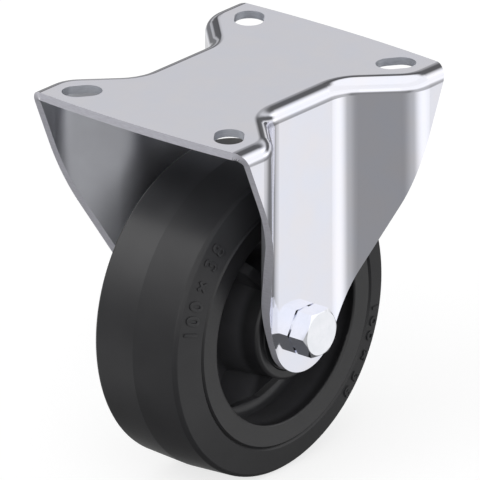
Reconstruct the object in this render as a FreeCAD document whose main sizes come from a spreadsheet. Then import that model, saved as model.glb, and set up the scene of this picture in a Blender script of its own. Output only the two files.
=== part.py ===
"""Fixed castor with a pressed steel bracket and a rubber-tyred wheel on a roller bearing.

Frame: millimetres, origin at the centre of the mounting plate's top face, +Z up,
+X the way the wheel rolls, Y along the axle with the bolt's head at -Y.
"""
import FreeCAD, Part
import math
import os
import Sketcher

Vector = FreeCAD.Vector
ROLLER_COUNT = 10
RIB_COUNT = 3

# Driving dimensions: alias, millimetres, what it sets
DRIVING = [
    ("plate_length", 100.0, "mounting plate between the crowns of its two ends"),
    ("plate_width", 85.0, "bracket over its outer walls"),
    ("gauge", 2.5, "sheet thickness"),
    ("crown_rise", 1.5, "crown of a plate end over its corners, where the side bends start"),
    ("bend_inset", 2.9, "sheet's end in the middle of a side bend, inside the crown"),
    ("leg_inset", 4.45, "leg's edge at the lower end of a side bend, inside the crown"),
    ("bend_radius", 2.2, "inside radius of the bends between plate and legs"),
    ("wing_length", 16.2, "outer wall from the crown to where the flank meets it"),
    ("waist_margin", 3.1, "flank's inner end from the side of the leg's round end"),
    ("corner_round", 12.9, "outer wall's radius where flank and outer wall meet"),
    ("waist_round", 12.0, "outer wall's radius where flank and waist meet"),
    ("leg_end_radius", 14.4, "rounded lower end of a leg"),
    ("leg_end_rise", 0.65, "centre of that round end above the axle"),
    ("wheel_clearance", 25.1, "tread below the plate's top face"),
    ("slot_end_inset", 10.7, "slot centres from the plate's crowned ends"),
    ("slot_side_inset", 13.5, "slot centres from the outer walls"),
    ("slot_width", 9.1, "mounting slots' width"),
    ("slot_length", 12.5, "mounting slots' length over both round ends"),
    ("bolt_diameter", 10.0, "axle bolt's shank"),
    ("bolt_clearance", 0.2, "axle bolt in the legs and the tube, on the radius"),
    ("head_reach", 2.0, "bolt head's flats beyond the shank"),
    ("head_bevel", 0.15, "bevel of the head inside its flats"),
    ("head_height", 6.0, "hexagon of the bolt head"),
    ("washer_inset", 0.4, "round face under the head inside its flats"),
    ("washer_gauge", 0.4, "height of that face"),
    ("insert_wall", 1.5, "plastic ring round the thread"),
    ("collar_wall", 0.7, "nut's round collar outside that ring"),
    ("collar_height", 2.6, "the same collar"),
    ("nut_shoulder", 0.8, "nut's flats beyond its collar"),
    ("nut_bevel", 0.4, "bevel of the nut inside its flats"),
    ("nut_height", 7.6, "hexagon of the lock nut"),
    ("bolt_past_nut", 2.4, "thread that stands out of the nut"),
    ("tube_wall", 2.3, "axle tube, the inner race"),
    ("disc_gauge", 1.65, "side disc between hub and leg"),
    ("disc_width", 5.9, "side disc from its bore to its outside"),
    ("disc_gap", 0.3, "side disc from the hub, along the axle"),
    ("slip_gap", 0.1, "side disc round the axle tube, on the radius"),
    ("hub_stand", 2.95, "hub's end beyond the tyre's sidewall"),
    ("hub_wall", 2.88, "hub round the dust caps"),
    ("hub_flare", 1.7, "hub at the web, beyond its ends, on the radius"),
    ("hub_round", 1.4, "hub's outer edge at its ends"),
    ("web_gauge", 5.0, "web between hub and rim"),
    ("rim_depth", 7.4, "rim at its faces"),
    ("rim_flare", 1.6, "rim's inside at the web, beyond its faces, on the radius"),
    ("bond_gap", 0.03, "rim from the tyre's inside, on the radius"),
    ("rim_bevel", 0.6, "rim's outer edge at the faces"),
    ("wheel_diameter", 100.4, "tread at the middle of the tyre"),
    ("tyre_width", 37.6, "tyre over its sidewalls"),
    ("tyre_depth", 10.6, "rubber between tread and rim"),
    ("tread_fall", 0.8, "tread's fall from its middle to its edges, on the radius"),
    ("shoulder_inset", 2.7, "shoulder's outer end inside the sidewall"),
    ("tread_inset", 0.95, "tread's edge inside that end"),
    ("shoulder_fall", 1.0, "sidewall's outer end below the tread's edge"),
    ("tyre_bevel", 0.7, "tyre's inner edge at the sidewalls"),
    ("web_round", 3.0, "round between the web and hub or rim"),
    ("rib_gauge", 3.4, "gusset between hub and rim"),
    ("rib_drop", 0.8, "gusset's top below the hub's end"),
    ("rib_bulge", 2.7, "gusset's sloping edge at its middle, over a straight line"),
    ("rib_foot_inset", 2.9, "gusset's foot from the rim's inside"),
    ("rib_foot_height", 2.6, "gusset's height over the web at its foot"),
    ("rib_angle", 244.0, "first gusset round the axle, in degrees"),
    ("roller_diameter", 3.92, "bearing roller"),
    ("roller_bevel", 0.3, "bearing roller's end edges"),
    ("race_gap", 0.04, "roller from either race, on the radius"),
    ("sleeve_wall", 1.0, "outer race"),
    ("press_gap", 0.02, "pressed pieces in the hub, on the radius"),
    ("cage_gauge", 2.4, "cage's wall"),
    ("cage_rim", 2.45, "cage beyond its rollers, along the axle"),
    ("pocket_gap", 0.12, "roller in its pocket, on the radius"),
    ("cage_end_gap", 0.3, "cage from each dust cap"),
    ("cap_gauge", 1.5, "dust cap"),
    ("cap_step", 1.9, "dust cap's outside beyond the outer race"),
    ("cap_gap", 0.5, "dust cap round the axle tube, on the radius"),
    ("edge_break", 0.4, "small bevels of turned pieces"),
    ("moulded_round", 0.8, "small rounds of moulded pieces"),
    ("trim_margin", 5.0, "blank beyond the plate's ends before they are trimmed"),
]

# Worked out from the driving dimensions: alias, formula
DERIVED = [
    ("half_length", "plate_length / 2"),
    ("half_corner", "half_length - crown_rise"),
    ("half_bend", "half_length - bend_inset"),
    ("leg_top", "half_length - leg_inset"),
    ("stock", "half_length + trim_margin"),
    ("half_width", "plate_width / 2"),
    ("outer_bend", "bend_radius + gauge"),
    ("bend_start", "half_width - outer_bend"),
    ("bend_far", "half_width + gauge"),
    ("bend_within", "bend_radius / 2"),
    ("bend_beyond", "outer_bend + gauge / 2"),
    ("end_radius", "(bend_start ^ 2 + crown_rise ^ 2) / (2 * crown_rise)"),
    ("flank_outer", "half_length - wing_length"),
    ("flank_inner", "leg_end_radius + waist_margin"),
    ("tread_radius", "wheel_diameter / 2"),
    ("tyre_half", "tyre_width / 2"),
    ("hub_half", "tyre_half + hub_stand"),
    ("disc_start", "hub_half + disc_gap"),
    ("leg_inside", "disc_start + disc_gauge"),
    ("half_waist", "leg_inside + gauge"),
    ("axle_drop", "tread_radius + wheel_clearance"),
    ("leg_end_drop", "axle_drop - leg_end_rise"),
    ("leg_depth", "leg_end_drop + leg_end_radius"),
    ("blank_depth", "leg_depth + gauge"),
    ("slot_x", "half_length - slot_end_inset"),
    ("slot_y", "half_width - slot_side_inset"),
    ("slot_diagonal", "sqrt(slot_x ^ 2 + slot_y ^ 2)"),
    ("slot_half_run", "(slot_length - slot_width) / 2"),
    ("slot_far_x", "slot_x * (1 + slot_half_run / slot_diagonal)"),
    ("slot_far_y", "slot_y * (1 + slot_half_run / slot_diagonal)"),
    ("slot_near_x", "slot_x * (1 - slot_half_run / slot_diagonal)"),
    ("slot_near_y", "slot_y * (1 - slot_half_run / slot_diagonal)"),
    ("slot_radius", "slot_width / 2"),
    ("bolt_radius", "bolt_diameter / 2"),
    ("bolt_hole_radius", "bolt_radius + bolt_clearance"),
    ("tube_radius", "bolt_hole_radius + tube_wall"),
    ("head_flat", "bolt_radius + head_reach"),
    ("head_corner", "head_flat / cos(30 deg)"),
    ("head_face_radius", "head_flat - head_bevel"),
    ("head_cone_foot", "head_face_radius + head_height / tan(30 deg)"),
    ("washer_radius", "head_flat - washer_inset"),
    ("head_start", "half_waist + washer_gauge"),
    ("collar_radius", "bolt_radius + insert_wall + collar_wall"),
    ("nut_flat", "collar_radius + nut_shoulder"),
    ("nut_corner", "nut_flat / cos(30 deg)"),
    ("nut_face_radius", "nut_flat - nut_bevel"),
    ("nut_cone_foot", "nut_face_radius + nut_height / tan(30 deg)"),
    ("nut_end", "half_waist + nut_height"),
    ("collar_end", "nut_end + collar_height"),
    ("bolt_end", "collar_end + bolt_past_nut"),
    ("bolt_neck", "bolt_radius - edge_break"),
    ("bolt_shoulder", "bolt_end - edge_break"),
    ("shank_length", "bolt_shoulder + half_waist"),
    ("collar_bore", "collar_radius - collar_wall"),
    ("collar_lip_radius", "collar_bore - collar_wall"),
    ("collar_lip", "collar_end - collar_wall"),
    ("insert_start", "collar_lip - collar_height + collar_wall / 2"),
    ("insert_bore", "bolt_radius + press_gap"),
    ("insert_radius", "collar_bore - press_gap"),
    ("insert_end", "collar_lip - press_gap"),
    ("insert_length", "insert_end - insert_start"),
    ("collar_over", "collar_height + edge_break"),
    ("collar_mouth_end", "collar_end + edge_break"),
    ("seat_length", "collar_lip - insert_start"),
    ("mouth_length", "collar_mouth_end - insert_start"),
    ("disc_bore", "tube_radius + slip_gap"),
    ("disc_radius", "disc_bore + disc_width"),
    ("disc_neck", "disc_radius - edge_break"),
    ("disc_shoulder", "disc_start + edge_break"),
    ("tube_neck", "tube_radius - edge_break"),
    ("tube_shoulder", "leg_inside - edge_break"),
    ("web_half", "web_gauge / 2"),
    ("bond_radius", "tread_radius - tyre_depth"),
    ("rim_half", "tyre_half"),
    ("rim_radius", "bond_radius - bond_gap"),
    ("rim_bevel_radius", "rim_radius - rim_bevel"),
    ("rim_bevel_start", "rim_half - rim_bevel"),
    ("rim_lip_radius", "bond_radius - rim_depth"),
    ("rim_foot_radius", "rim_lip_radius + rim_flare"),
    ("roller_radius", "roller_diameter / 2"),
    ("roller_pitch", "tube_radius + race_gap + roller_radius"),
    ("sleeve_bore", "roller_pitch + roller_radius + race_gap"),
    ("sleeve_radius", "sleeve_bore + sleeve_wall"),
    ("hub_bore", "sleeve_radius + press_gap"),
    ("cap_radius", "sleeve_radius + cap_step"),
    ("cap_start", "hub_half - cap_gauge"),
    ("cap_seat_radius", "cap_radius + press_gap"),
    ("cap_bore", "tube_radius + cap_gap"),
    ("cap_neck", "cap_radius - edge_break"),
    ("cap_shoulder", "hub_half - edge_break"),
    ("sleeve_half", "cap_start - press_gap"),
    ("sleeve_neck", "sleeve_radius - edge_break"),
    ("sleeve_shoulder", "sleeve_half - edge_break"),
    ("cage_half", "cap_start - cage_end_gap"),
    ("roller_half", "cage_half - cage_rim"),
    ("roller_neck", "roller_radius - roller_bevel"),
    ("roller_shoulder", "roller_half - roller_bevel"),
    ("cage_inside", "roller_pitch - cage_gauge / 2"),
    ("cage_outside", "roller_pitch + cage_gauge / 2"),
    ("pocket_radius", "roller_radius + pocket_gap"),
    ("pocket_length", "2 * (roller_half + pocket_gap)"),
    ("tread_edge_radius", "tread_radius - tread_fall"),
    ("shoulder_radius", "tread_edge_radius - shoulder_fall"),
    ("shoulder_half", "tyre_half - shoulder_inset"),
    ("tread_half", "shoulder_half - tread_inset"),
    ("tyre_bevel_radius", "bond_radius + tyre_bevel"),
    ("tyre_bevel_start", "tyre_half - tyre_bevel"),
    ("hub_radius", "cap_seat_radius + hub_wall"),
    ("hub_foot_radius", "hub_radius + hub_flare"),
    ("rib_foot_radius", "rim_foot_radius - rib_foot_inset"),
    ("rib_middle_radius", "(hub_radius + rib_foot_radius) / 2"),
    ("rib_top", "hub_half - rib_drop"),
    ("rib_foot_top", "web_half + rib_foot_height"),
    ("rib_middle_top", "(rib_top + rib_foot_top) / 2 + rib_bulge"),
    ("rib_start", "(hub_bore + hub_radius) / 2"),
]

doc = FreeCAD.newDocument("fixed_castor")
sheet = doc.addObject("Spreadsheet::Sheet", "Sizes")
for row, (alias, millimetres, meaning) in enumerate(DRIVING, start=1):
    sheet.set("A%d" % row, meaning)
    sheet.set("B%d" % row, str(millimetres))
    sheet.setAlias("B%d" % row, alias)
for row, (alias, formula) in enumerate(DERIVED, start=len(DRIVING) + 1):
    sheet.set("A%d" % row, alias.replace("_", " "))
    sheet.set("B%d" % row, "=" + formula)
    sheet.setAlias("B%d" % row, alias)
doc.recompute()


def size(term):
    """The sheet's value for an alias, negative after a minus sign, 0 for 0."""
    if term == 0:
        return 0.0
    if term.startswith("-"):
        return -float(sheet.get(term[1:]))
    return float(sheet.get(term))


def bound(term):
    """The expression that binds a property to an alias."""
    return "-Sizes." + term[1:] if term.startswith("-") else "Sizes." + term


def new_body(label, on_axle=True):
    """A body of its own; one that belongs on the axle has its origin there."""
    body = doc.addObject("PartDesign::Body", label)
    body.Label = label
    if on_axle:
        body.setExpression("Placement.Base.z", "-Sizes.axle_drop")
    return body


def new_sketch(body, name, plane):
    sketch = body.newObject("Sketcher::SketchObject", name)
    origin_plane = [item for item in body.Origin.OriginFeatures if item.Role == plane][0]
    sketch.AttachmentSupport = [(origin_plane, "")]
    sketch.MapMode = "FlatFace"
    return sketch


def pin_point(sketch, edge, vertex, place):
    """Hold a point of the sketch at a place given by two aliases."""
    for kind, axis, term in (("DistanceX", -2, place[0]), ("DistanceY", -1, place[1])):
        if term == 0:
            sketch.addConstraint(Sketcher.Constraint("PointOnObject", edge, vertex, axis))
        else:
            index = sketch.addConstraint(
                Sketcher.Constraint(kind, -1, 1, edge, vertex, size(term)))
            sketch.setExpression("Constraints[%d]" % index, bound(term))


def bind_radius(sketch, edge, term):
    index = sketch.addConstraint(Sketcher.Constraint("Radius", edge, size(term)))
    sketch.setExpression("Constraints[%d]" % index, bound(term))


def at(place):
    return Vector(size(place[0]), size(place[1]), 0)


def draw_outline(sketch, corners):
    """A closed outline of straight lines through the corners."""
    first = sketch.GeometryCount
    count = len(corners)
    for step, corner in enumerate(corners):
        sketch.addGeometry(Part.LineSegment(at(corner), at(corners[(step + 1) % count])))
    for step, corner in enumerate(corners):
        here, after = first + step, first + (step + 1) % count
        sketch.addConstraint(Sketcher.Constraint("Coincident", here, 2, after, 1))
        pin_point(sketch, here, 1, corner)


def draw_circle(sketch, centre, radius):
    edge = sketch.addGeometry(Part.Circle(at(centre), Vector(0, 0, 1), size(radius)))
    pin_point(sketch, edge, 3, centre)
    bind_radius(sketch, edge, radius)


def minus(term):
    return 0 if term == 0 else ("-" + term).replace("--", "")


def mirrored_down(corners):
    """The corners and their mirror images across the sketch's X axis."""
    below = [(x, minus(y)) for x, y in reversed(corners) if y != 0]
    return corners + below


def turned(body, name, corners):
    """A ring turned about the axle: each corner is radius and place along the axle."""
    sketch = new_sketch(body, name + "_section", "XY_Plane")
    draw_outline(sketch, corners)
    ring = body.newObject("PartDesign::Revolution", name)
    ring.Profile = sketch
    ring.ReferenceAxis = (sketch, ["V_Axis"])
    ring.Angle = 360
    doc.recompute()
    return ring


def raise_from(body, name, sketch, term, reverse=False, both_ways=False):
    pad = body.newObject("PartDesign::Pad", name)
    pad.Profile = sketch
    pad.setExpression("Length", bound(term))
    pad.Reversed = reverse
    if both_ways:
        pad.SideType = "Symmetric"
    doc.recompute()
    return pad


def cut_through(body, name, sketch, both_ways=False):
    pocket = body.newObject("PartDesign::Pocket", name)
    pocket.Profile = sketch
    pocket.Type = "ThroughAll"
    if both_ways:
        pocket.SideType = "Symmetric"
    doc.recompute()
    return pocket


def edges_of(feature, wanted):
    return ["Edge%d" % number for number, edge in enumerate(feature.Shape.Edges, start=1)
            if wanted(edge)]


def faces_of(feature, wanted):
    return ["Face%d" % number for number, face in enumerate(feature.Shape.Faces, start=1)
            if wanted(face)]


def round_edges(body, name, feature, wanted, term, kind="Fillet"):
    """Fillet or chamfer the feature's edges that pass the test."""
    blend = body.newObject("PartDesign::" + kind, name)
    blend.Base = (feature, edges_of(feature, wanted))
    blend.setExpression("Radius" if kind == "Fillet" else "Size", bound(term))
    doc.recompute()
    return blend


def near(value, term):
    return abs(value - size(term)) < 0.01


def is_ring(edge, radius, half):
    """True for a circle round the axle with this radius, this far from the middle."""
    if not isinstance(edge.Curve, Part.Circle):
        return False
    centre = edge.CenterOfMass
    return near(edge.Curve.Radius, radius) and near(abs(centre.y), half)


def build_bracket():
    """One pressed sheet: plate, side bends and two legs that follow a waisted plan."""
    body = new_body("bracket", on_axle=False)

    plan = new_sketch(body, "plan", "XY_Plane")
    side = [("stock", "half_width"), ("flank_outer", "half_width"),
            ("flank_inner", "half_waist"), ("-flank_inner", "half_waist"),
            ("-flank_outer", "half_width"), ("-stock", "half_width")]
    draw_outline(plan, mirrored_down(side))
    block = raise_from(body, "block", plan, "blank_depth", reverse=True)

    def upright_at(edge, x, y):
        place = edge.CenterOfMass
        return edge.BoundBox.ZLength > 1 and near(abs(place.x), x) and near(abs(place.y), y)

    waist = round_edges(body, "waist_bends", block,
                        lambda edge: upright_at(edge, "flank_inner", "half_waist"),
                        "waist_round")
    corner = round_edges(body, "corner_bends", waist,
                         lambda edge: upright_at(edge, "flank_outer", "half_width"),
                         "corner_round")
    bend = round_edges(body, "side_bends", corner,
                       lambda edge: edge.BoundBox.ZMin > -0.01 and edge.BoundBox.XLength > 0.01,
                       "outer_bend")

    def is_open(face):
        box = face.BoundBox
        at_end = box.XLength < 0.01 and near(abs(box.XMin), "stock")
        at_bottom = box.ZLength < 0.01 and box.ZMax < -size("leg_depth")
        return at_end or at_bottom

    shell = body.newObject("PartDesign::Thickness", "sheet")
    shell.Base = (bend, faces_of(bend, is_open))
    shell.setExpression("Value", bound("gauge"))
    shell.Reversed = True
    doc.recompute()

    ends = new_sketch(body, "plate_ends", "XY_Plane")
    for sign in ("", "-"):
        trim_plate_end(ends, sign)
    cut_through(body, "end_trim", ends)
    for x_sign in ("", "-"):
        for y_sign in ("", "-"):
            trim_bend_end(body, x_sign, y_sign)

    legs = new_sketch(body, "leg_sides", "XZ_Plane")
    trim_leg_sides(legs)
    cut_through(body, "leg_trim", legs, both_ways=True)

    slots = new_sketch(body, "slot_plan", "XY_Plane")
    for x_sign in ("", "-"):
        for y_sign in ("", "-"):
            draw_slot(slots, x_sign, y_sign)
    cut_through(body, "slots", slots)

    holes = new_sketch(body, "axle_hole_plan", "XZ_Plane")
    draw_circle(holes, (0, "-axle_drop"), "bolt_hole_radius")
    cut_through(body, "axle_holes", holes, both_ways=True)
    return body


def trim_plate_end(sketch, sign):
    """What lies past one end of the plate, crowned as far as the side bends."""
    corners = [(sign + "half_corner", "bend_start"), (sign + "half_corner", "bend_far"),
               (sign + "stock", "bend_far"), (sign + "stock", "-bend_far"),
               (sign + "half_corner", "-bend_far"), (sign + "half_corner", "-bend_start")]
    first = sketch.GeometryCount
    for here, after in zip(corners, corners[1:]):
        sketch.addGeometry(Part.LineSegment(at(here), at(after)))
    crown = sketch.addGeometry(Part.Arc(at(corners[-1]), at((sign + "half_length", 0)),
                                        at(corners[0])))
    for step, corner in enumerate(corners[:-1]):
        pin_point(sketch, first + step, 1, corner)
        if step:
            sketch.addConstraint(Sketcher.Constraint("Coincident", first + step - 1, 2,
                                                     first + step, 1))
    pin_point(sketch, crown - 1, 2, corners[-1])
    lower, upper = (1, 2) if sign == "" else (2, 1)
    sketch.addConstraint(Sketcher.Constraint("Coincident", crown - 1, 2, crown, lower))
    sketch.addConstraint(Sketcher.Constraint("Coincident", crown, upper, first, 1))
    bind_radius(sketch, crown, "end_radius")


def trim_bend_end(body, x_sign, y_sign):
    """What lies past the end of a side bend, cut square to the sheet all the way round."""
    sections = []
    for step, edge in enumerate(("half_corner", "half_bend", "leg_top")):
        turn = 45 * step
        name = "bend_end_%d" % (len(body.Group) + 1)
        sketch = new_sketch(body, name, "XY_Plane")
        tilt = 90 - turn if y_sign == "" else 90 + turn
        sketch.AttachmentOffset = FreeCAD.Placement(
            Vector(), FreeCAD.Rotation(Vector(1, 0, 0), tilt))
        sketch.setExpression("AttachmentOffset.Base.y", bound(y_sign + "bend_start"))
        sketch.setExpression("AttachmentOffset.Base.z", bound("-outer_bend"))
        draw_outline(sketch, [(x_sign + edge, "bend_within"), (x_sign + "stock", "bend_within"),
                              (x_sign + "stock", "bend_beyond"), (x_sign + edge, "bend_beyond")])
        sections.append(sketch)
    doc.recompute()
    loft = body.newObject("PartDesign::SubtractiveLoft", "bend_trim_%d" % len(body.Group))
    loft.Profile = sections[0]
    loft.Sections = sections[1:]
    doc.recompute()


def trim_leg_sides(sketch):
    """What lies outside the legs' outline: sloping edges that run into a round end."""
    top_x, top_z = size("leg_top"), -size("outer_bend")
    drop, radius = size("leg_end_drop"), size("leg_end_radius")
    reach = math.hypot(top_x, drop + top_z)
    slope = math.atan2(top_x, drop + top_z) - math.asin(radius / reach)
    touch = Vector(radius * math.cos(slope), -drop - radius * math.sin(slope), 0)
    other = Vector(-touch.x, touch.y, 0)
    corners = [("leg_top", "-outer_bend"), ("stock", "-outer_bend"), ("stock", "-blank_depth"),
               ("-stock", "-blank_depth"), ("-stock", "-outer_bend"), ("-leg_top", "-outer_bend")]
    sketch.addGeometry(Part.LineSegment(touch, at(corners[0])))
    for here, after in zip(corners, corners[1:]):
        sketch.addGeometry(Part.LineSegment(at(here), at(after)))
    last = sketch.addGeometry(Part.LineSegment(at(corners[-1]), other))
    bottom = Vector(0, -drop - radius, 0)
    arc = sketch.addGeometry(Part.Arc(other, bottom, touch))
    for step in range(last):
        sketch.addConstraint(Sketcher.Constraint("Coincident", step, 2, step + 1, 1))
        pin_point(sketch, step, 2, corners[step])
    sketch.addConstraint(Sketcher.Constraint("Tangent", last, 2, arc, 1))
    sketch.addConstraint(Sketcher.Constraint("Tangent", arc, 2, 0, 1))
    pin_point(sketch, arc, 3, (0, "-leg_end_drop"))
    bind_radius(sketch, arc, "leg_end_radius")


def draw_slot(sketch, x_sign, y_sign):
    """One mounting slot, its length pointing at the middle of the plate."""
    far = at((x_sign + "slot_far_x", y_sign + "slot_far_y"))
    close = at((x_sign + "slot_near_x", y_sign + "slot_near_y"))
    radius = size("slot_radius")
    along = (far - close).normalize()
    across = Vector(-along.y, along.x, 0)
    end = sketch.addGeometry(Part.Arc(far - across * radius, far + along * radius,
                                      far + across * radius))
    left = sketch.addGeometry(Part.LineSegment(far + across * radius, close + across * radius))
    start = sketch.addGeometry(Part.Arc(close + across * radius, close - along * radius,
                                        close - across * radius))
    right = sketch.addGeometry(Part.LineSegment(close - across * radius,
                                                far - across * radius))
    for here, after in ((end, left), (left, start), (start, right), (right, end)):
        sketch.addConstraint(Sketcher.Constraint("Tangent", here, 2, after, 1))
    pin_point(sketch, end, 3, (x_sign + "slot_far_x", y_sign + "slot_far_y"))
    pin_point(sketch, start, 3, (x_sign + "slot_near_x", y_sign + "slot_near_y"))
    bind_radius(sketch, end, "slot_radius")


def shape_of(kind, name, place, **terms):
    """A primitive on the bolt's axis; place is where it starts, towards the head."""
    item = doc.addObject("Part::" + kind, name)
    for prop, term in terms.items():
        item.setExpression(prop, bound(term))
    if place != 0:
        item.setExpression("Placement.Base.z", bound(place))
    return item


def joined(kind, name, base, tool):
    item = doc.addObject("Part::" + kind, name)
    item.Base = base
    item.Tool = tool
    return item


def lay_on_axle(item, label):
    """Turn a piece made along Z so that its +Z end points at -Y, on the axle."""
    item.Label = label
    item.Placement = FreeCAD.Placement(Vector(), FreeCAD.Rotation(Vector(1, 0, 0), 90))
    item.setExpression("Placement.Base.z", "-Sizes.axle_drop")
    return item


def hexagon(name, place, corner, height):
    prism = shape_of("Prism", name, place, Circumradius=corner, Height=height)
    prism.Polygon = 6
    return prism


def build_axle_bolt():
    """Hexagon head at -Y on a round washer face, plain shank, bevelled tip."""
    blank = hexagon("head_blank", "head_start", "head_corner", "head_height")
    bevel = shape_of("Cone", "head_bevel", "head_start", Radius1="head_cone_foot",
                     Radius2="head_face_radius", Height="head_height")
    hexagonal = joined("Common", "head_hexagon", blank, bevel)
    washer = shape_of("Cylinder", "washer_face_disc", "half_waist", Radius="washer_radius",
                      Height="washer_gauge")
    head = joined("Fuse", "head", hexagonal, washer)
    shank = shape_of("Cylinder", "shank", "-bolt_shoulder", Radius="bolt_radius",
                     Height="shank_length")
    tip = shape_of("Cone", "tip", "-bolt_end", Radius1="bolt_neck", Radius2="bolt_radius",
                   Height="edge_break")
    tipped = joined("Fuse", "tipped_shank", shank, tip)
    return lay_on_axle(joined("Fuse", "axle_bolt", head, tipped), "axle_bolt")


def build_lock_nut():
    """Hexagon with a round collar that holds the locking insert."""
    blank = hexagon("nut_blank", "-nut_end", "nut_corner", "nut_height")
    bevel = shape_of("Cone", "nut_bevel", "-nut_end", Radius1="nut_face_radius",
                     Radius2="nut_cone_foot", Height="nut_height")
    nut = joined("Common", "nut_hexagon", blank, bevel)
    collar = shape_of("Cylinder", "collar", "-collar_end", Radius="collar_radius",
                      Height="collar_over")
    solid = joined("Fuse", "nut_solid", nut, collar)
    bore = shape_of("Cylinder", "nut_bore", "-collar_mouth_end", Radius="insert_bore",
                    Height="collar_mouth_end")
    seat = shape_of("Cylinder", "insert_seat", "-collar_lip", Radius="collar_bore",
                    Height="seat_length")
    mouth = shape_of("Cylinder", "collar_mouth", "-collar_mouth_end",
                     Radius="collar_lip_radius", Height="mouth_length")
    spaces = joined("Fuse", "nut_spaces", joined("Fuse", "seat_and_mouth", seat, mouth), bore)
    return lay_on_axle(joined("Cut", "lock_nut", solid, spaces), "lock_nut")


def build_nut_insert():
    """Plastic ring that grips the thread."""
    ring = shape_of("Cylinder", "insert_blank", "-insert_end", Radius="insert_radius",
                    Height="insert_length")
    bore = shape_of("Cylinder", "insert_hole", "-insert_end", Radius="insert_bore",
                    Height="insert_length")
    return lay_on_axle(joined("Cut", "nut_insert", ring, bore), "nut_insert")


def build_turned_pieces():
    """Plain rings round the axle: tube, outer race, side discs and dust caps."""
    body = new_body("axle_tube")
    turned(body, "tube", mirrored_down([
        ("bolt_hole_radius", "leg_inside"), ("tube_neck", "leg_inside"),
        ("tube_radius", "tube_shoulder")]))

    body = new_body("bearing_sleeve")
    turned(body, "sleeve", mirrored_down([
        ("sleeve_bore", "sleeve_half"), ("sleeve_neck", "sleeve_half"),
        ("sleeve_radius", "sleeve_shoulder")]))

    for label, sign in (("side_disc_front", "-"), ("side_disc_back", "")):
        body = new_body(label)
        turned(body, label + "_ring", [
            ("disc_bore", sign + "disc_start"), ("disc_neck", sign + "disc_start"),
            ("disc_radius", sign + "disc_shoulder"), ("disc_radius", sign + "leg_inside"),
            ("disc_bore", sign + "leg_inside")])

    for label, sign in (("dust_cap_front", "-"), ("dust_cap_back", "")):
        body = new_body(label)
        turned(body, label + "_ring", [
            ("cap_bore", sign + "cap_start"), ("cap_radius", sign + "cap_start"),
            ("cap_radius", sign + "cap_shoulder"), ("cap_neck", sign + "hub_half"),
            ("cap_bore", sign + "hub_half")])


def build_roller_cage():
    """A thin ring with a round pocket for each roller."""
    body = new_body("roller_cage")
    turned(body, "cage_ring", mirrored_down([
        ("cage_inside", "cage_half"), ("cage_outside", "cage_half")]))
    plan = new_sketch(body, "pocket_plan", "XZ_Plane")
    draw_circle(plan, ("roller_pitch", 0), "pocket_radius")
    pocket = body.newObject("PartDesign::Pocket", "pocket")
    pocket.Profile = plan
    pocket.setExpression("Length", bound("pocket_length"))
    pocket.SideType = "Symmetric"
    doc.recompute()
    axis = [item for item in body.Origin.OriginFeatures if item.Role == "Y_Axis"][0]
    row = body.newObject("PartDesign::PolarPattern", "pockets")
    row.Originals = [pocket]
    row.Axis = (axis, [""])
    row.Angle = 360
    row.Occurrences = ROLLER_COUNT
    body.Tip = row
    doc.recompute()


def build_rollers():
    """Bearing rollers, evenly spaced round the axle tube."""
    for number in range(ROLLER_COUNT):
        label = "roller_%02d" % (number + 1)
        body = doc.addObject("PartDesign::Body", label)
        body.Label = label
        turn = 360.0 * number / ROLLER_COUNT
        body.setExpression("Placement.Base.x", "Sizes.roller_pitch * cos(%g deg)" % turn)
        body.setExpression("Placement.Base.z",
                           "-Sizes.axle_drop - Sizes.roller_pitch * sin(%g deg)" % turn)
        turned(body, label + "_pin", mirrored_down([
            (0, "roller_half"), ("roller_neck", "roller_half"),
            ("roller_radius", "roller_shoulder")]))


def build_wheel_centre():
    """Moulded hub, web and rim, with gussets from the hub down to the web on both sides."""
    body = new_body("wheel_centre")
    ring = turned(body, "centre_ring", mirrored_down([
        ("hub_bore", "cap_start"), ("cap_seat_radius", "cap_start"),
        ("cap_seat_radius", "hub_half"), ("hub_radius", "hub_half"),
        ("hub_foot_radius", "web_half"), ("rim_foot_radius", "web_half"),
        ("rim_lip_radius", "rim_half"), ("rim_bevel_radius", "rim_half"),
        ("rim_radius", "rim_bevel_start")]))
    web = round_edges(body, "web_rounds", ring,
                      lambda edge: is_ring(edge, "hub_foot_radius", "web_half")
                      or is_ring(edge, "rim_foot_radius", "web_half"), "web_round")
    lip = round_edges(body, "lip_rounds", web,
                      lambda edge: is_ring(edge, "rim_lip_radius", "rim_half"), "moulded_round")
    round_edges(body, "hub_rounds", lip,
                lambda edge: is_ring(edge, "hub_radius", "hub_half"), "hub_round")
    plan = new_sketch(body, "gusset_side", "XY_Plane")
    draw_outline(plan, mirrored_down([
        ("rib_start", "rib_top"), ("hub_radius", "rib_top"),
        ("rib_middle_radius", "rib_middle_top"), ("rib_foot_radius", "rib_foot_top"),
        ("rim_foot_radius", "web_half")]))
    gusset = raise_from(body, "gusset", plan, "rib_gauge", both_ways=True)
    axis = [item for item in body.Origin.OriginFeatures if item.Role == "Y_Axis"][0]
    row = body.newObject("PartDesign::PolarPattern", "gussets")
    row.Originals = [gusset]
    row.Axis = (axis, [""])
    row.Angle = 360
    row.Occurrences = RIB_COUNT
    body.Tip = row
    body.Placement = FreeCAD.Placement(
        Vector(), FreeCAD.Rotation(Vector(0, 1, 0), -size("rib_angle")))
    body.setExpression("Placement.Base.z", "-Sizes.axle_drop")
    doc.recompute()


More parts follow.
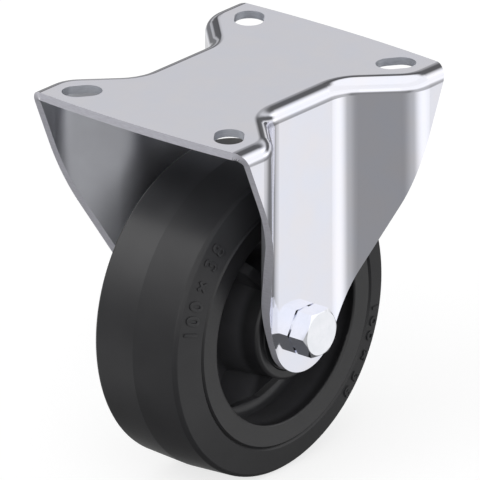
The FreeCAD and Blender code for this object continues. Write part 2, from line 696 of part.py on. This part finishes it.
def build_tyre():
    """Rubber ring with a slightly crowned tread and tapering sidewalls."""
    body = new_body("tyre")
    ring = turned(body, "tyre_ring", mirrored_down([
        ("tread_radius", 0), ("tread_edge_radius", "tread_half"),
        ("shoulder_radius", "shoulder_half"), ("tyre_bevel_radius", "tyre_half"),
        ("bond_radius", "tyre_bevel_start")]))
    round_edges(body, "shoulder_rounds", ring,
                lambda edge: is_ring(edge, "tread_edge_radius", "tread_half")
                or is_ring(edge, "shoulder_radius", "shoulder_half"), "moulded_round")


build_bracket()
build_axle_bolt()
build_lock_nut()
build_nut_insert()
build_turned_pieces()
build_roller_cage()
build_rollers()
build_wheel_centre()
build_tyre()
doc.recompute()

NODES = ["bracket", "axle_bolt", "lock_nut", "nut_insert", "axle_tube",
         "side_disc_front", "side_disc_back", "dust_cap_front", "dust_cap_back",
         "bearing_sleeve", "roller_cage", "wheel_centre", "tyre"]
NODES += ["roller_%02d" % (number + 1) for number in range(ROLLER_COUNT)]

for item in doc.Objects:
    if "Invalid" in item.State or "Error" in item.State:
        raise ValueError("%s did not build: %s" % (item.Label, item.State))
subparts = [doc.getObjectsByLabel(node)[0] for node in NODES]
for piece in subparts:
    if piece.Shape.isNull() or not piece.Shape.isValid() or len(piece.Shape.Solids) != 1:
        raise ValueError(piece.Label + " is not one sound solid")
os.makedirs("parts", exist_ok=True)
for piece in subparts:
    box = piece.Shape.BoundBox
    print("%-16s %9.0f mm3  x %.2f..%.2f  y %.2f..%.2f  z %.2f..%.2f" % (
        piece.Label, piece.Shape.Volume, box.XMin, box.XMax, box.YMin, box.YMax,
        box.ZMin, box.ZMax))
    piece.Shape.exportStep("parts/%s.step" % piece.Label)
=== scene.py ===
import math

import bmesh
import bpy
from mathutils import Matrix, Vector


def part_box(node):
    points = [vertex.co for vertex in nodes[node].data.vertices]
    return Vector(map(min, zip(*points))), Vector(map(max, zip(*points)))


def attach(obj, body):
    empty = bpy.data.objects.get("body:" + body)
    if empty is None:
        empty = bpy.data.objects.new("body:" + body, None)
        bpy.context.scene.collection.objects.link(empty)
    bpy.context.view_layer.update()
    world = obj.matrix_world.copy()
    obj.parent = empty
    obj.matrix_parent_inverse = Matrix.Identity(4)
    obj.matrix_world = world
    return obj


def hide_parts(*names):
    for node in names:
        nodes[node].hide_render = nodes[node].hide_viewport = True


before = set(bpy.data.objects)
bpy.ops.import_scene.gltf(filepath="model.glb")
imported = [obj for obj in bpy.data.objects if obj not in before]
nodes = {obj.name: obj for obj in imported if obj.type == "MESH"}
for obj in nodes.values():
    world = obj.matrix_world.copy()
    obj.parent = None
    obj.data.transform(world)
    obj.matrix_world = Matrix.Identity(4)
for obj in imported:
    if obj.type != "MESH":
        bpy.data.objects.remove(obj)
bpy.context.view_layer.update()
mm = 0.001

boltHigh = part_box("axle_bolt")[1]
tyreLow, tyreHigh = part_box("tyre")
axleHeight = (tyreLow.z + tyreHigh.z) / 2
weldGap = 0.002 * mm  # points of a mesh closer than this become one


# camera, at the photograph's angle

view = {
    "azimuth": -50.0,  # degrees, 0 looks along +Y
    "elevation": 22.08,
    "scale": 3305.0,  # pixels for each metre across the view
    "originX": 239.245,  # where the middle of the plate's top lies in the picture
    "originY": 77.06,
    "frameSize": 480.0,  # pixels
    "distance": 6.0,  # metres, so far off that it hardly foreshortens
    "sensor": 36.0,  # mm
    "clipStart": 0.1,
    "clipEnd": 20.0,
}


def viewAxes():
    azimuth = math.radians(view["azimuth"])
    elevation = math.radians(view["elevation"])
    right = Vector((math.cos(azimuth), math.sin(azimuth), 0))
    back = Vector((math.sin(azimuth) * math.cos(elevation),
                   -math.cos(azimuth) * math.cos(elevation), math.sin(elevation)))
    return right, back.cross(right), back


def addCamera():
    right, up, back = viewAxes()
    half = view["frameSize"] / 2
    aim = (right * ((half - view["originX"]) / view["scale"])
           - up * ((half - view["originY"]) / view["scale"]))
    lensData = bpy.data.cameras.new("studioCamera")
    lensData.sensor_width = view["sensor"]
    lensData.lens = view["sensor"] * view["distance"] * view["scale"] / view["frameSize"]
    lensData.clip_start = view["clipStart"]
    lensData.clip_end = view["clipEnd"]
    camera = bpy.data.objects.new("studioCamera", lensData)
    camera.location = aim + back * view["distance"]
    camera.rotation_euler = back.to_track_quat("Z", "Y").to_euler()
    bpy.context.scene.collection.objects.link(camera)
    bpy.context.scene.camera = camera


addCamera()
print("camera placed")


# node helpers

def linear(hexColour):
    channels = [int(hexColour[i:i + 2], 16) / 255 for i in (1, 3, 5)]
    toLinear = [c / 12.92 if c <= 0.04045 else ((c + 0.055) / 1.055) ** 2.4 for c in channels]
    return (*toLinear, 1)


def addNode(tree, kind, settings=None, inputs=None):
    node = tree.nodes.new(kind)
    for name, value in (settings or {}).items():
        setattr(node, name, value)
    for name, value in (inputs or {}).items():
        if isinstance(value, bpy.types.NodeSocket):
            tree.links.new(value, node.inputs[name])
        else:
            node.inputs[name].default_value = value
    return node


def newMaterial(name, fixed=None):
    material = bpy.data.materials.new(name)
    material.use_nodes = True
    tree = material.node_tree
    shader = tree.nodes["Principled BSDF"]
    for socket, value in (fixed or {}).items():
        shader.inputs[socket].default_value = value
    place = addNode(tree, "ShaderNodeTexCoord").outputs["Object"]
    return material, tree, shader, place


def noiseAt(tree, place, grain, detail=3.0, stretch=(1, 1, 1)):
    # grain is the size of one patch in millimetres, stretch draws it out along each axis
    turn = addNode(tree, "ShaderNodeMapping",
                   inputs={"Vector": place, "Scale": [1 / (grain * mm * s) for s in stretch]})
    return addNode(tree, "ShaderNodeTexNoise",
                   inputs={"Vector": turn.outputs[0], "Scale": 1.0, "Detail": detail})


def spread(tree, value, low, high, fromLow=0.3, fromHigh=0.7):
    # noise lies mostly between 0.3 and 0.7
    return addNode(tree, "ShaderNodeMapRange", {"clamp": True},
                   {"Value": value, "From Min": fromLow, "From Max": fromHigh,
                    "To Min": low, "To Max": high}).outputs["Result"]


def blendColours(tree, share, first, second):
    mix = addNode(tree, "ShaderNodeMix", {"data_type": "RGBA"})
    tree.links.new(share, mix.inputs["Factor"])
    for socket, colour in (("A", first), ("B", second)):
        target = [i for i in mix.inputs if i.name == socket and i.type == "RGBA"][0]
        if isinstance(colour, str):
            target.default_value = linear(colour)
        else:
            tree.links.new(colour, target)
    return [o for o in mix.outputs if o.type == "RGBA"][0]


def addRelief(tree, shader, height, depth):
    bump = addNode(tree, "ShaderNodeBump",
                   inputs={"Height": height, "Distance": depth * mm, "Strength": 1.0})
    tree.links.new(bump.outputs["Normal"], shader.inputs["Normal"])


# zinc plated steel, pressed from sheet: near-white mirror with a cool cast, clouded on its
# inner faces, half matt and grey where the press has cut it

zincSheet = {
    "cool": "#e4e6f0",
    "warm": "#e7e6ec",
    "platePaintedShadeCool": "#cdced7",  # painted shade: faces turned up, the flat plate, a little greyer than the drawn bends and legs
    "platePaintedShadeWarm": "#d0cfd5",
    "innerCool": "#e6e8ef",
    "innerWarm": "#dedfe6",
    "innerMetal": 0.91,
    "cutCool": "#d7d7e0",
    "cutWarm": "#cac9d2",
    # the slots' walls: grey cut steel, made darker than the other cut edges as painted shade inside
    # the holes
    "slotPaintedShadeCool": "#bfc2ca",
    "slotPaintedShadeWarm": "#b1b4bc",
    "smooth": 0.05,
    "clouded": 0.08,
    "innerRoughness": 0.36,
    "cutRoughness": 0.46,
    "cutMetal": 0.45,
    "cloudSize": 11.0,  # mm
    "spotSize": 3.67,  # small clouds, in the gloss alone
    "streakSize": 0.35,
    "streakStretch": (6, 6, 1),
    "streakDepth": 0.006,
    "slotMiddle": (39.3, 29.0, -1.25),  # mm, the cut walls of the slots lie round it
    "slotReach": (9.0, 8.0, 1.4),
    "wallTilt": 0.2,  # most that a slot's wall faces up or down
    # a surface's direction along one axis, from where a finish starts to where it is full
    "cutAlongX": (0.3, 0.5),
    "cutAlongY": (0.55, 0.45),
    "cutAlongZ": (0.3, 0.1),
    "plateAlongZ": (0.93, 0.995),
    "underAlongZ": (-0.4, -0.6),
    "inward": (-2.0, -4.0),  # mm, distance from the middle times direction, on the inner faces
}


def makeZincSheet():
    look = zincSheet
    material, tree, shader, place = newMaterial("zincPlatedSheet")
    normal = addNode(tree, "ShaderNodeNewGeometry").outputs["True Normal"]
    facing = addNode(tree, "ShaderNodeSeparateXYZ", inputs={0: normal}).outputs
    point = addNode(tree, "ShaderNodeSeparateXYZ", inputs={0: place}).outputs

    def compute(operation, *values):
        return addNode(tree, "ShaderNodeMath", {"operation": operation},
                       dict(enumerate(values))).outputs[0]

    def mixValues(share, first, second):
        return addNode(tree, "ShaderNodeMix", inputs={"Factor": share, "A": first,
                                                      "B": second}).outputs[0]

    def fadeOver(value, limits, unit=1.0):
        start, full = (limit * unit for limit in limits)
        return spread(tree, value, 0.0, 1.0, start, full)

    # edges of the legs and the plate face mostly along X, and never upwards
    sideways = fadeOver(compute("ABSOLUTE", facing["Y"]), look["cutAlongY"])
    level = fadeOver(facing["Z"], look["cutAlongZ"])
    cutEdge = compute("MULTIPLY", compute("MULTIPLY", sideways, level),
                      fadeOver(compute("ABSOLUTE", facing["X"]), look["cutAlongX"]))
    slotWall = compute("COMPARE", facing["Z"], 0.0, look["wallTilt"])
    for axis, middle, reach in zip("XYZ", look["slotMiddle"], look["slotReach"]):
        along = point[axis] if axis == "Z" else compute("ABSOLUTE", point[axis])
        slotWall = compute("MULTIPLY", slotWall,
                           compute("COMPARE", along, middle * mm, reach * mm))
    cut = compute("MAXIMUM", cutEdge, slotWall)
    towardMiddle = fadeOver(compute("MULTIPLY", point["Y"], facing["Y"]), look["inward"], mm)
    inner = compute("MAXIMUM", towardMiddle, fadeOver(facing["Z"], look["underAlongZ"]))
    # painted shade: faces turned up are picked out here to take a greyer copy of the zinc
    plate = fadeOver(facing["Z"], look["plateAlongZ"])

    clouds = spread(tree, noiseAt(tree, place, look["cloudSize"], detail=2.0).outputs["Fac"],
                    0.0, 1.0)
    streaks = noiseAt(tree, place, look["streakSize"], detail=2.0,
                      stretch=look["streakStretch"]).outputs["Fac"]
    # faces turned up get the plate's painted shade, the rest the plain zinc
    colour = blendColours(tree, plate, blendColours(tree, clouds, look["cool"], look["warm"]),
                          blendColours(tree, clouds, look["platePaintedShadeCool"], look["platePaintedShadeWarm"]))
    colour = blendColours(tree, inner, colour,
                          blendColours(tree, clouds, look["innerCool"], look["innerWarm"]))
    streaked = spread(tree, streaks, 0.0, 1.0)
    # cut edges grey from the bare steel; the slots' walls darker still with painted shade
    edge = blendColours(tree, slotWall,
                        blendColours(tree, streaked, look["cutCool"], look["cutWarm"]),
                        blendColours(tree, streaked, look["slotPaintedShadeCool"], look["slotPaintedShadeWarm"]))
    tree.links.new(blendColours(tree, cut, colour, edge), shader.inputs["Base Color"])
    gloss = spread(tree, noiseAt(tree, place, look["spotSize"], detail=4.0).outputs["Fac"],
                   look["smooth"], look["clouded"])
    tree.links.new(mixValues(cut, mixValues(inner, gloss, look["innerRoughness"]),
                             look["cutRoughness"]), shader.inputs["Roughness"])
    tree.links.new(mixValues(cut, mixValues(inner, 1.0, look["innerMetal"]), look["cutMetal"]),
                   shader.inputs["Metallic"])
    addRelief(tree, shader, compute("MULTIPLY", streaks, cut), look["streakDepth"])
    return material


# bright zinc plate on forged and turned steel: mirror-like, fine turning marks round its axis

zincTurned = {
    "cool": "#f2f3f8",
    "warm": "#eceef3",
    "smooth": 0.05,
    "marked": 0.10,
    "cloudSize": 3.0,  # mm
    "markPitch": 0.45,  # between rings, coarser than real marks so that they show
    "markDepth": 0.0005,
    "markWaver": 0.6,
    "wavePeriod": 0.314,  # length of one ring of Blender's wave texture at a scale of 1
}


def makeZincTurned(name, look):
    material, tree, shader, place = newMaterial(name, {"Metallic": 1.0})
    centred = addNode(tree, "ShaderNodeMapping",
                      inputs={"Vector": place, "Location": (0, 0, -axleHeight)}).outputs[0]
    rings = addNode(tree, "ShaderNodeTexWave",
                    {"wave_type": "RINGS", "rings_direction": "Y", "wave_profile": "SIN"},
                    {"Vector": centred, "Scale": look["wavePeriod"] / (look["markPitch"] * mm),
                     "Distortion": look["markWaver"], "Detail": 2.0,
                     "Detail Scale": 3.0}).outputs["Fac"]
    clouds = noiseAt(tree, place, look["cloudSize"]).outputs["Fac"]
    tree.links.new(blendColours(tree, spread(tree, clouds, 0.0, 1.0), look["cool"], look["warm"]),
                   shader.inputs["Base Color"])
    tree.links.new(spread(tree, clouds, look["smooth"], look["marked"]),
                   shader.inputs["Roughness"])
    addRelief(tree, shader, rings, look["markDepth"])
    return material


# ground and hardened steel: grey, with fine grinding lines round the axis

groundSteel = {
    "light": "#c6c7cb",
    "dark": "#b4b6ba",
    "smooth": 0.18,
    "rough": 0.30,
    "lineSize": 0.25,  # mm along the axis
    "lineStretch": (40, 1, 40),
    "lineDepth": 0.002,
}
polishedSteel = {
    "light": "#d6d7da",
    "dark": "#cccdd1",
    "smooth": 0.06,
    "rough": 0.12,
    "lineSize": 0.5,
    "lineStretch": (40, 1, 40),
    "lineDepth": 0.0005,
}


def makeGroundSteel(name, look):
    material, tree, shader, place = newMaterial(name, {"Metallic": 1.0})
    lines = noiseAt(tree, place, look["lineSize"], stretch=look["lineStretch"]).outputs["Fac"]
    tree.links.new(blendColours(tree, spread(tree, lines, 0.0, 1.0), look["light"], look["dark"]),
                   shader.inputs["Base Color"])
    tree.links.new(spread(tree, lines, look["smooth"], look["rough"]),
                   shader.inputs["Roughness"])
    addRelief(tree, shader, lines, look["lineDepth"])
    return material


# moulded plastics and rubber: one even colour with faint flow clouds and a fine grain

glassFilledNylon = {  # black polyamide: dark satin with faint flow clouds
    "light": "#252527",
    "dark": "#1f1f21",
    "paintedFillLight": "#48484b",  # painted light: paler inside its recesses, as if fill light reached in there
    "paintedFillDark": "#404043",
    "deepFrom": 16.5,  # mm from the middle, along the axle
    "deepTo": 14.0,
    "smooth": 0.34,
    "rough": 0.46,
    "cloudSize": 9.0,
    "grainSize": 0.35,  # mm, coarser than the mould's spark texture so that it shows
    "grainDepth": 0.006,
    "ior": 1.53,
}
blackNylon = {  # plain black nylon: a little glossier
    "light": "#27272a",
    "dark": "#202022",
    "smooth": 0.28,
    "rough": 0.38,
    "cloudSize": 5.0,
    "grainSize": 0.3,
    "grainDepth": 0.004,
    "ior": 1.53,
}
naturalNylon = {  # uncoloured nylon: milky off-white
    "light": "#dcd8c8",
    "dark": "#d0ccbc",
    "smooth": 0.30,
    "rough": 0.42,
    "cloudSize": 4.0,
    "grainSize": 0.3,
    "grainDepth": 0.004,
    "ior": 1.53,
}
insertNylon = {  # the same, in the cooler white of locking rings
    "light": "#dfe0da",
    "dark": "#d2d4cf",
    "smooth": 0.30,
    "rough": 0.42,
    "cloudSize": 3.0,
    "grainSize": 0.25,
    "grainDepth": 0.003,
    "ior": 1.53,
}
tyreRubber = {  # black elastic rubber: soft dark grey with a broad sheen
    "light": "#2d2d2f",
    "dark": "#272729",
    "smooth": 0.34,
    "rough": 0.42,
    "cloudSize": 14.0,
    "grainSize": 0.4,
    "grainDepth": 0.004,
    "ior": 1.47,
}


def makeMoulded(name, look):
    material, tree, shader, place = newMaterial(name, {"IOR": look["ior"]})
    clouds = noiseAt(tree, place, look["cloudSize"]).outputs["Fac"]
    grain = noiseAt(tree, place, look["grainSize"], detail=2.0).outputs["Fac"]
    share = spread(tree, clouds, 0.0, 1.0)
    colour = blendColours(tree, share, look["light"], look["dark"])
    # painted light: the nylon turns paler towards the middle along the axle, inside the recesses
    if "deepTo" in look:
        along = addNode(tree, "ShaderNodeSeparateXYZ", inputs={0: place}).outputs["Y"]
        outward = addNode(tree, "ShaderNodeMath", {"operation": "ABSOLUTE"}, {0: along}).outputs[0]
        paintedFillShare = spread(tree, outward, 1.0, 0.0, look["deepTo"] * mm, look["deepFrom"] * mm)
        colour = blendColours(tree, paintedFillShare, colour,
                              blendColours(tree, share, look["paintedFillLight"], look["paintedFillDark"]))
    tree.links.new(colour, shader.inputs["Base Color"])
    tree.links.new(spread(tree, grain, look["smooth"], look["rough"]),
                   shader.inputs["Roughness"])
    addRelief(tree, shader, grain, look["grainDepth"])
    return material


zincSheetMaterial = makeZincSheet()
boltMaterial = makeZincTurned("brightZincBolt", zincTurned)
nutMaterial = makeZincTurned("brightZincNut", zincTurned)
rubberMaterial = makeMoulded("blackRubber", tyreRubber)
blackNylonMaterial = makeMoulded("blackNylon", blackNylon)
dress = {
    "bracket": zincSheetMaterial, "axle_bolt": boltMaterial, "lock_nut": nutMaterial,
    "nut_insert": makeMoulded("insertNylon", insertNylon),
    "axle_tube": makeGroundSteel("groundSteel", groundSteel),
    "roller_cage": makeMoulded("naturalNylon", naturalNylon),
    "wheel_centre": makeMoulded("glassFilledNylon", glassFilledNylon),
    "tyre": rubberMaterial,
}
dress["bearing_sleeve"] = dress["axle_tube"]
for name in ("side_disc_front", "side_disc_back", "dust_cap_front", "dust_cap_back"):
    dress[name] = blackNylonMaterial
rollerSteel = makeGroundSteel("polishedSteel", polishedSteel)
for name, node in nodes.items():
    node.material_slots[0].material = dress.get(name, rollerSteel)
print("materials made")


# pieces

def finishPiece(name, shape, material, body, sharpFrom=30):
    for face in shape.faces:
        face.smooth = True
    for edge in shape.edges:
        edge.smooth = edge.calc_face_angle(0) < math.radians(sharpFrom)
    mesh = bpy.data.meshes.new(name)
    shape.to_mesh(mesh)
    shape.free()
    if "custom_normal" in mesh.attributes:  # brought along from the solid, no longer true
        mesh.attributes.remove(mesh.attributes["custom_normal"])
    mesh.materials.append(material)
    piece = bpy.data.objects.new(name, mesh)
    bpy.context.scene.collection.objects.link(piece)
    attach(piece, body)
    return piece


# axle bolt with a real thread at its tip; head and shank are the solid's own, apart from the
# round face under the head, which is drawn out

thread = {
    "pitch": 1.5,
    "major": 5.0,  # radius, mm
    "minor": 4.19,
    "crest": 0.19,
    "flank": 0.47,
    "length": 24.0,
    "steps": 48,  # round one turn
    "chamfer": 0.9,
    "washer": 6.6,  # radius of the round face under the head
    "washerMargin": 0.05,
    "widened": 6.97,  # the same drawn out to the flats, so that it shows only at the corners
    "sharpFrom": 20,  # degrees between faces
}


def makeBolt():
    end = boltHigh.y
    start = end - thread["length"] * mm
    axis = Vector((0, 0, axleHeight))
    shape = bmesh.new()
    shape.from_mesh(nodes["axle_bolt"].data)
    bmesh.ops.remove_doubles(shape, verts=shape.verts, dist=weldGap)
    bmesh.ops.bisect_plane(shape, geom=shape.verts[:] + shape.edges[:] + shape.faces[:],
                           plane_co=(0, start, 0), plane_no=(0, 1, 0), clear_outer=True)
    bmesh.ops.holes_fill(shape, edges=[e for e in shape.edges if e.is_boundary])
    for vertex in shape.verts:
        out = Vector((vertex.co.x, 0, vertex.co.z - axleHeight))
        if abs(out.length - thread["washer"] * mm) < thread["washerMargin"] * mm:
            vertex.co += out * (thread["widened"] / thread["washer"] - 1)

    screw = bmesh.new()
    crest, flank, pitch = thread["crest"], thread["flank"], thread["pitch"]
    turns = math.ceil(thread["length"] / pitch) + 2
    profile = [(thread["major"], 0), (thread["major"], crest), (thread["minor"], crest + flank),
               (thread["minor"], pitch - flank), (thread["major"], pitch)]
    points = [screw.verts.new((radius * mm, start + (along - pitch) * mm, axleHeight))
              for radius, along in profile]
    edges = [screw.edges.new(pair) for pair in zip(points, points[1:])]
    bmesh.ops.spin(screw, geom=points + edges, cent=axis, axis=(0, 1, 0),
                   dvec=(0, pitch * mm / thread["steps"], 0), angle=2 * math.pi * turns,
                   steps=thread["steps"] * turns)
    bmesh.ops.remove_doubles(screw, verts=screw.verts, dist=weldGap)
    for place, side in ((start, -1), (end, 1)):
        bmesh.ops.bisect_plane(screw, geom=screw.verts[:] + screw.edges[:] + screw.faces[:],
                               plane_co=(0, place, 0), plane_no=(0, side, 0), clear_outer=True)
    for vertex in screw.verts:
        inward = thread["chamfer"] - (end - vertex.co.y) / mm
        out = Vector((vertex.co.x, 0, vertex.co.z - axleHeight))
        limit = (thread["major"] - max(inward, 0)) * mm
        if out.length > limit:
            vertex.co = axis + out * (limit / out.length) + Vector((0, vertex.co.y, 0))
    bmesh.ops.holes_fill(screw, edges=[e for e in screw.edges if e.is_boundary])
    bmesh.ops.recalc_face_normals(screw, faces=screw.faces)
    threaded = bpy.data.meshes.new("threadedEnd")
    screw.to_mesh(threaded)
    screw.free()
    shape.from_mesh(threaded)
    bpy.data.meshes.remove(threaded)
    return shape


bolt = finishPiece("axleBolt", makeBolt(), boltMaterial, "bracket_assembly",
                   sharpFrom=thread["sharpFrom"])
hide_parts("axle_bolt")
print("bolt made")


# raised size figures on both sidewalls, twice round: diameter and width in millimetres

figures = {
    # each figure and its place in the line, in degrees round the axle
    "marks": [("1", 18.5), ("0", 12.9), ("0", 7.0), ("×", -1.0), ("3", -10.3), ("8", -16.9)],
    "middles": (-30.2, 149.8),  # degrees round the axle, from +X towards +Z
    "height": 4.6,  # mm
    "heightShare": 0.72,  # a figure's height over the type's size
    "raised": 0.4,
    "bolder": 0.12,
    "sunk": 0.15,  # into the rubber, so that no gap shows
    "edge": 0.06,
    "curveSteps": 6,
    "radius": 44.6,
    "slopeInner": (40.3, 18.8),  # radius and place along the axle of the sidewall's two edges
    "slopeOuter": (48.4, 16.1),
}


def makeFigure(character):
    letter = bpy.data.curves.new("figureShape", "FONT")
    letter.body = character
    letter.size = figures["height"] * mm / figures["heightShare"]
    letter.align_x = "CENTER"
    letter.extrude = (figures["raised"] + figures["sunk"]) / 2 * mm - figures["edge"] * mm
    letter.bevel_depth = figures["edge"] * mm
    letter.bevel_resolution = 1
    letter.offset = figures["bolder"] * mm
    letter.resolution_u = figures["curveSteps"]
    holder = bpy.data.objects.new("figureShape", letter)
    bpy.context.scene.collection.objects.link(holder)
    bpy.context.view_layer.update()
    mesh = bpy.data.meshes.new_from_object(
        holder.evaluated_get(bpy.context.evaluated_depsgraph_get()))
    bpy.data.objects.remove(holder)
    middle = sum((max(v.co.y for v in mesh.vertices), min(v.co.y for v in mesh.vertices))) / 2
    mesh.transform(Matrix.Translation((0, -middle, (figures["raised"] - figures["sunk"]) / 2 * mm)))
    return mesh


def makeFigures():
    (innerRadius, innerPlace), (outerRadius, outerPlace) = (figures["slopeInner"],
                                                            figures["slopeOuter"])
    tilt = math.atan2(innerPlace - outerPlace, outerRadius - innerRadius)
    place = innerPlace + (figures["radius"] - innerRadius) * ((outerPlace - innerPlace)
                                                              / (outerRadius - innerRadius))
    shape = bmesh.new()
    for character, turn in figures["marks"]:
        mesh = makeFigure(character)
        for middle in figures["middles"]:
            for side in (-1, 1):
                angle = math.radians(middle + turn * (-1 if side == 1 else 1))
                radial = Vector((math.cos(angle), 0, math.sin(angle)))
                along = Vector((0, side, 0))
                upward = radial * math.cos(tilt) - along * math.sin(tilt)
                outward = along * math.cos(tilt) + radial * math.sin(tilt)
                across = upward.cross(outward)
                turned = Matrix((across, upward, outward)).transposed().to_4x4()
                turned.translation = (Vector((0, 0, axleHeight)) + radial * figures["radius"] * mm
                                      + along * place * mm)
                copy = mesh.copy()
                copy.transform(turned)
                shape.from_mesh(copy)
                bpy.data.meshes.remove(copy)
        bpy.data.meshes.remove(mesh)
    bmesh.ops.remove_doubles(shape, verts=shape.verts, dist=weldGap)
    bmesh.ops.recalc_face_normals(shape, faces=shape.faces)
    return shape


finishPiece("sizeFigures", makeFigures(), rubberMaterial, "wheel")
print("size figures made")


# studio: soft panels seen only in gloss, a plain fill with one soft key for everything else
# a panel is: azimuth, half width full inside and gone outside, elevation where it starts, is
# full, is full to and ends, all in degrees, and brightness
# azimuth 0 is +X and 90 is +Y, and a half width of 180 goes all round

studio = {
    "background": "#ffffff",
    "fill": 0.45,
    "key": (196, 20, 80, -10, 25, 50, 75, 1.3),
    "base": 0.13,  # brightness in gloss where no panel is
    "panels": {
        "frontLevel": (-79.6, 44.9, 65.6, -8.6, 9.2, 18.0, 25.0, 1.03),
        "frontHigh": (-75.3, 45.4, 73.8, 17.9, 24.6, 47.0, 57.2, 0.97),
        "ceiling": (0, 180, 181, 47.0, 57.2, 90, 91, 1.04),
        "rightHigh": (4.2, 0, 48.6, 18.4, 27.3, 27.5, 40.8, 0.57),
        "plateCard": (41.4, 1.6, 9.0, 13.0, 20.5, 23.0, 31.0, 0.66),  # what the plate mirrors
        "frontBelow": (-53.6, 3.2, 43.4, -58.2, -29.6, -21.7, -12.2, 0.65),
        "frontUnder": (-78.0, 5.4, 49.9, -45.0, -29.9, -16.2, -6.9, 0.36),
        "leftBelow": (-169.9, 34.0, 62.9, -60.0, -40.0, -13.1, -2.8, 0.125),
        "frontHorizon": (-61.3, 19.6, 49.0, -14.7, -8.9, -1.0, 8.2, 0.32),
        "horizon": (0, 180, 181, -40.0, -24.0, 6.0, 14.0, 0.087),
        "rightLevel": (0, 20, 42, -8, 1, 5, 11, 0.6),
        "backSoftbox": (118, 6, 33, -3, 29, 47.0, 57.2, 2.4),  # the sheen on the tread
        "backLevel": (57, 12, 30, 2, 6, 10, 14, 0.3),
        "leftHigh": (-168, 22.8, 43.5, -6, 6, 47.0, 57.2, 0.92),  # the bolt's upper facets
        "backBelow": (88, 12, 60, -50, -30, -20, -8, 0.75),
    },
    "floorSize": 3.0,
    "floorGlow": 0.74,  # share of the floor's white that no shadow takes
    "floorShade": 0.4,
    "floorBounce": "#a8a8a8",  # its colour for light that it throws back up
}


def panelGlow(tree, compass, height, panel):
    azimuth, widthFull, widthGone, start, fullFrom, fullTo, end, brightness = panel

    def fade(value, gone, full, most=1.0):
        return addNode(tree, "ShaderNodeMapRange",
                       {"interpolation_type": "SMOOTHSTEP", "clamp": True},
                       {"Value": value, "From Min": gone, "From Max": full,
                        "To Max": most}).outputs["Result"]

    def rise(degrees):
        return math.sin(math.radians(degrees))

    def turn(degrees):
        return math.cos(math.radians(degrees))

    glow = fade(height, rise(start), rise(fullFrom), brightness)
    parts = []
    if fullTo < 90:
        parts.append(fade(height, rise(end), rise(fullTo)))
    if widthFull < 180:
        toward = (turn(azimuth), rise(azimuth), 0)
        across = addNode(tree, "ShaderNodeVectorMath", {"operation": "DOT_PRODUCT"},
                         {0: compass, 1: toward}).outputs["Value"]
        parts.append(fade(across, turn(widthGone), turn(widthFull)))
    for part in parts:
        glow = addNode(tree, "ShaderNodeMath", {"operation": "MULTIPLY"},
                       {0: glow, 1: part}).outputs[0]
    return glow


def panelsTogether(tree, panels, base):
    direction = addNode(tree, "ShaderNodeTexCoord").outputs["Generated"]
    height = addNode(tree, "ShaderNodeSeparateXYZ", inputs={0: direction}).outputs["Z"]
    level = addNode(tree, "ShaderNodeVectorMath", {"operation": "MULTIPLY"},
                    {0: direction, 1: (1, 1, 0)}).outputs[0]
    compass = addNode(tree, "ShaderNodeVectorMath", {"operation": "NORMALIZE"},
                      {0: level}).outputs[0]
    total = base
    for panel in panels:
        total = addNode(tree, "ShaderNodeMath", {"operation": "ADD"},
                        {0: panelGlow(tree, compass, height, panel), 1: total}).outputs[0]
    return total


def addStudio():
    world = bpy.data.worlds.new("studio")
    world.use_nodes = True
    bpy.context.scene.world = world
    tree = world.node_tree
    tree.nodes.clear()
    rays = addNode(tree, "ShaderNodeLightPath").outputs
    white = linear(studio["background"])
    backdrop = addNode(tree, "ShaderNodeBackground", inputs={"Color": white, "Strength": 1.0})
    gloss = addNode(tree, "ShaderNodeBackground", inputs={
        "Color": white,
        "Strength": panelsTogether(tree, studio["panels"].values(), studio["base"])})
    plain = addNode(tree, "ShaderNodeBackground", inputs={
        "Color": white, "Strength": panelsTogether(tree, [studio["key"]], studio["fill"])})
    lit = addNode(tree, "ShaderNodeMixShader", inputs={
        0: rays["Is Glossy Ray"], 1: plain.outputs[0], 2: gloss.outputs[0]})
    seen = addNode(tree, "ShaderNodeMixShader", inputs={
        0: rays["Is Camera Ray"], 1: lit.outputs[0], 2: backdrop.outputs[0]})
    addNode(tree, "ShaderNodeOutputWorld", inputs={"Surface": seen.outputs[0]})


def addFloor():
    shape = bmesh.new()
    bmesh.ops.create_grid(shape, x_segments=1, y_segments=1, size=studio["floorSize"],
                          matrix=Matrix.Translation((0, 0, tyreLow.z)))
    mesh = bpy.data.meshes.new("studioFloor")
    shape.to_mesh(mesh)
    shape.free()
    floor = bpy.data.objects.new("studioFloor", mesh)
    bpy.context.scene.collection.objects.link(floor)
    material = bpy.data.materials.new("paleFloor")
    material.use_nodes = True
    tree = material.node_tree
    tree.nodes.clear()
    rays = addNode(tree, "ShaderNodeLightPath").outputs
    matt = addNode(tree, "ShaderNodeBsdfDiffuse", inputs={"Color": linear(studio["floorBounce"])})
    white = linear(studio["background"])
    glow = addNode(tree, "ShaderNodeEmission",
                   inputs={"Color": white, "Strength": studio["floorGlow"]})
    shade = addNode(tree, "ShaderNodeBsdfDiffuse",
                    inputs={"Color": [studio["floorShade"] * c for c in white[:3]] + [1]})
    both = addNode(tree, "ShaderNodeAddShader", inputs={0: glow.outputs[0], 1: shade.outputs[0]})
    seen = addNode(tree, "ShaderNodeMixShader", inputs={
        0: rays["Is Camera Ray"], 1: matt.outputs[0], 2: both.outputs[0]})
    addNode(tree, "ShaderNodeOutputMaterial", inputs={"Surface": seen.outputs[0]})
    mesh.materials.append(material)
    floor.visible_glossy = False  # metal mirrors the panels below the horizon in its place


addStudio()
addFloor()
bpy.context.scene.view_settings.view_transform = "Standard"
print("studio built")
